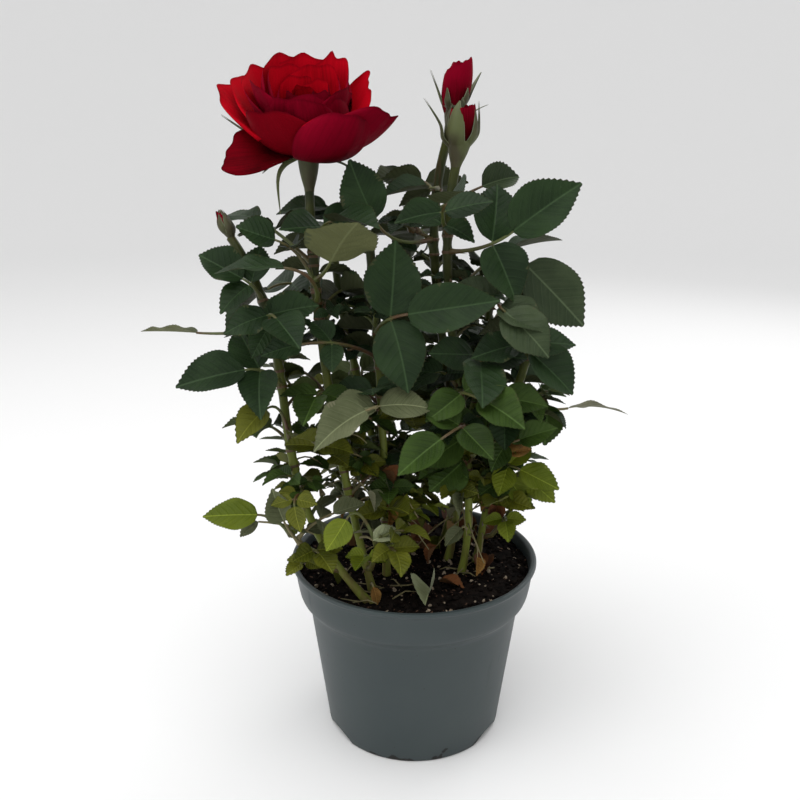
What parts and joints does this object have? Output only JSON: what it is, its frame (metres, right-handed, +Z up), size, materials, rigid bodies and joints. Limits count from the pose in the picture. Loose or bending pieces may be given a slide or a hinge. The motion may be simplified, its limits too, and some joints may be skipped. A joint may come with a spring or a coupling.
{
  "type": "potted patio rose bush",
  "caption": "Small rose bush in a round nursery pot: leafy canes from potting soil, one open red bloom and closed buds above dark green compound leaves.",
  "frame": {"origin": "centre of the pot's flat underside", "axes": "+Z up along the pot's axis; -Y towards the front, where the front bud and the open bloom face; the open bloom is on the -X side"},
  "size_m": [0.2267, 0.158, 0.3193],
  "materials": {
    "pot_plastic": "moulded, soft sheen",
    "peat": "crumbly, moist",
    "cane_bark": "green bark, brown with age at the foot",
    "green_leaf": "dull, lighter underneath",
    "yellow_leaf": "dull",
    "red_petal": "velvety",
    "bud_green": "dull, red where petals show"
  },
  "bodies": {
    "root": {"pot": "pot_plastic", "potting_soil": "peat", "cane_bloom": "cane_bark", "cane_left": "cane_bark", "cane_middle": "cane_bark", "cane_front": "cane_bark", "cane_back": "cane_bark", "cane_right": "cane_bark", "cane_rear_left": "cane_bark", "cane_rear_right": "cane_bark", "bloom": "red_petal", "bud_front": "bud_green", "bud_back": "bud_green", "bud_left": "bud_green", "foliage_bloom": "green_leaf", "foliage_left": "green_leaf", "foliage_middle": "green_leaf", "foliage_front": "green_leaf", "foliage_back": "green_leaf", "foliage_right": "green_leaf", "foliage_rear_left": "green_leaf", "foliage_rear_right": "green_leaf", "foliage_low_left": "yellow_leaf", "foliage_low_front": "yellow_leaf", "foliage_low_right": "yellow_leaf", "foliage_low_rear": "yellow_leaf"}
  },
  "joints": []
}
